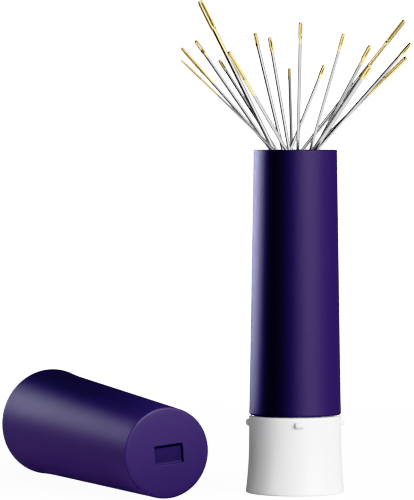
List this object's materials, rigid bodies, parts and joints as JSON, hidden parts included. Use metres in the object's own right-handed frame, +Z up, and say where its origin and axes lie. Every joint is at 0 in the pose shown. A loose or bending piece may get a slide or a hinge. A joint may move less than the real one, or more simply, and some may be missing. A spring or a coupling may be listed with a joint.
{
  "type": "twist-up sewing needle case",
  "caption": "Tapered twist-up case whose magnetic carrier raises a fan of sewing needles above its mouth, on a flared white base, with its cap lying beside it.",
  "frame": {"origin": "centre of the base's underside, on the surface that the case stands on", "axes": "+Z up along the case's axis; the cap lies beside the case at -X with its open rim towards +Y"},
  "size_m": [0.0819, 0.0979, 0.1237],
  "materials": {
    "violet_plastic": "satin moulded, fine matt grain",
    "white_plastic": "satin gloss moulded",
    "natural_plastic": "natural acetal, smooth",
    "dark_plastic": "thin hard plate",
    "black_rubber": "matt",
    "spring_steel": "bright drawn",
    "zinc_steel": "zinc plated",
    "nickel_magnet": "nickel plated magnet",
    "needle_steel": "polished nickel-plated shaft, gold-plated eye end"
  },
  "bodies": {
    "base": {"base_skirt": "white_plastic", "bottom_cover": "white_plastic", "guide_tube": "natural_plastic", "friction_ring": "black_rubber", "snap_ring": "spring_steel"},
    "tube": {"outer_tube": "violet_plastic", "cam_sleeve": "natural_plastic"},
    "carrier": {"carrier_cup": "natural_plastic", "drive_pin": "spring_steel", "keeper_plate": "zinc_steel", "magnet": "nickel_magnet", "point_pad": "dark_plastic"},
    "cap": {"cap_shell": "violet_plastic"},
    "needle_01": {"needle_01": "needle_steel"},
    "needle_02": {"needle_02": "needle_steel"},
    "needle_03": {"needle_03": "needle_steel"},
    "needle_04": {"needle_04": "needle_steel"},
    "needle_05": {"needle_05": "needle_steel"},
    "needle_06": {"needle_06": "needle_steel"},
    "needle_07": {"needle_07": "needle_steel"},
    "needle_08": {"needle_08": "needle_steel"},
    "needle_09": {"needle_09": "needle_steel"},
    "needle_10": {"needle_10": "needle_steel"},
    "needle_11": {"needle_11": "needle_steel"},
    "needle_12": {"needle_12": "needle_steel"},
    "needle_13": {"needle_13": "needle_steel"},
    "needle_14": {"needle_14": "needle_steel"},
    "needle_15": {"needle_15": "needle_steel"},
    "needle_16": {"needle_16": "needle_steel"},
    "needle_17": {"needle_17": "needle_steel"}
  },
  "joints": [
    {"name": "twist", "type": "hinge", "parent": "base", "child": "tube", "pos_m": [0, 0, 0], "axis": [0, 0, 1], "range_deg": [0, 360]},
    {"name": "carrier_lift", "type": "slide", "parent": "base", "child": "carrier", "axis": [0, 0, -1], "range_m": [0, 0.0468]},
    {"name": "cap_lift", "type": "slide", "parent": "base", "child": "cap", "axis": [0, 0, 1], "range_m": [0, 0.06]},
    {"name": "needle_01_gather", "type": "hinge", "parent": "base", "child": "needle_01", "pos_m": [-0.05216, 0.01879, 0.05775], "axis": [0.3907, 0.9205, 0], "range_deg": [0, 46]},
    {"name": "needle_02_gather", "type": "hinge", "parent": "base", "child": "needle_02", "pos_m": [-0.03598, 0.04318, 0.05775], "axis": [0.809, 0.5878, 0], "range_deg": [0, 45]},
    {"name": "needle_03_gather", "type": "hinge", "parent": "base", "child": "needle_03", "pos_m": [-0.05152, 0.05019, 0.05775], "axis": [0.7431, 0.6691, 0], "range_deg": [0, 36.5]},
    {"name": "needle_04_gather", "type": "hinge", "parent": "base", "child": "needle_04", "pos_m": [-0.03255, 0.07126, 0.05775], "axis": [0.9272, 0.3746, 0], "range_deg": [0, 33.5]},
    {"name": "needle_05_gather", "type": "hinge", "parent": "base", "child": "needle_05", "pos_m": [-0.05736, -0.02499, 0.05775], "axis": [-0.3746, 0.9272, 0], "range_deg": [0, 41.5]},
    {"name": "needle_06_gather", "type": "hinge", "parent": "base", "child": "needle_06", "pos_m": [-0.01493, 0.05394, 0.05775], "axis": [0.9744, 0.225, 0], "range_deg": [0, 45]},
    {"name": "needle_07_gather", "type": "hinge", "parent": "base", "child": "needle_07", "pos_m": [0.00492, 0.07877, 0.05775], "axis": [0.9962, -0.0872, 0], "range_deg": [0, 33]},
    {"name": "needle_08_gather", "type": "hinge", "parent": "base", "child": "needle_08", "pos_m": [0.01429, 0.07805, 0.05775], "axis": [0.9816, -0.1908, 0], "range_deg": [0, 32.5]},
    {"name": "needle_09_gather", "type": "hinge", "parent": "base", "child": "needle_09", "pos_m": [0.02529, 0.05584, 0.05775], "axis": [0.9063, -0.4226, 0], "range_deg": [0, 42.5]},
    {"name": "needle_10_gather", "type": "hinge", "parent": "base", "child": "needle_10", "pos_m": [-0.03508, -0.07646, 0.05775], "axis": [-0.9063, 0.4226, 0], "range_deg": [0, 31]},
    {"name": "needle_11_gather", "type": "hinge", "parent": "base", "child": "needle_11", "pos_m": [0.04718, 0.03805, 0.05775], "axis": [0.5878, -0.809, 0], "range_deg": [0, 41.5]},
    {"name": "needle_12_gather", "type": "hinge", "parent": "base", "child": "needle_12", "pos_m": [-0.00415, -0.07079, 0.05775], "axis": [-0.9962, 0.0872, 0], "range_deg": [0, 37]},
    {"name": "needle_13_gather", "type": "hinge", "parent": "base", "child": "needle_13", "pos_m": [0.01533, -0.06064, 0.05775], "axis": [-0.9816, -0.1908, 0], "range_deg": [0, 40.5]},
    {"name": "needle_14_gather", "type": "hinge", "parent": "base", "child": "needle_14", "pos_m": [0.06359, -0.00328, 0.05775], "axis": [-0.1219, -0.9925, 0], "range_deg": [0, 40]},
    {"name": "needle_15_gather", "type": "hinge", "parent": "base", "child": "needle_15", "pos_m": [0.04576, -0.03902, 0.05775], "axis": [-0.6947, -0.7193, 0], "range_deg": [0, 42.5]},
    {"name": "needle_16_gather", "type": "hinge", "parent": "base", "child": "needle_16", "pos_m": [0.05277, -0.01701, 0.05775], "axis": [-0.3584, -0.9336, 0], "range_deg": [0, 45.5]},
    {"name": "needle_17_gather", "type": "hinge", "parent": "base", "child": "needle_17", "pos_m": [0.01443, -0.05369, 0.05775], "axis": [-0.9744, -0.225, 0], "range_deg": [0, 45.5]}
  ],
  "couplings": [
    {"joint": "twist", "follows": "carrier_lift", "rad_per_m": 134.26},
    {"joint": "needle_01_gather", "follows": "carrier_lift", "rad_per_m": 17.155},
    {"joint": "needle_02_gather", "follows": "carrier_lift", "rad_per_m": 16.782},
    {"joint": "needle_03_gather", "follows": "carrier_lift", "rad_per_m": 13.612},
    {"joint": "needle_04_gather", "follows": "carrier_lift", "rad_per_m": 12.493},
    {"joint": "needle_05_gather", "follows": "carrier_lift", "rad_per_m": 15.477},
    {"joint": "needle_06_gather", "follows": "carrier_lift", "rad_per_m": 16.782},
    {"joint": "needle_07_gather", "follows": "carrier_lift", "rad_per_m": 12.307},
    {"joint": "needle_08_gather", "follows": "carrier_lift", "rad_per_m": 12.12},
    {"joint": "needle_09_gather", "follows": "carrier_lift", "rad_per_m": 15.85},
    {"joint": "needle_10_gather", "follows": "carrier_lift", "rad_per_m": 11.561},
    {"joint": "needle_11_gather", "follows": "carrier_lift", "rad_per_m": 15.477},
    {"joint": "needle_12_gather", "follows": "carrier_lift", "rad_per_m": 13.799},
    {"joint": "needle_13_gather", "follows": "carrier_lift", "rad_per_m": 15.104},
    {"joint": "needle_14_gather", "follows": "carrier_lift", "rad_per_m": 14.917},
    {"joint": "needle_15_gather", "follows": "carrier_lift", "rad_per_m": 15.85},
    {"joint": "needle_16_gather", "follows": "carrier_lift", "rad_per_m": 16.968},
    {"joint": "needle_17_gather", "follows": "carrier_lift", "rad_per_m": 16.968}
  ]
}
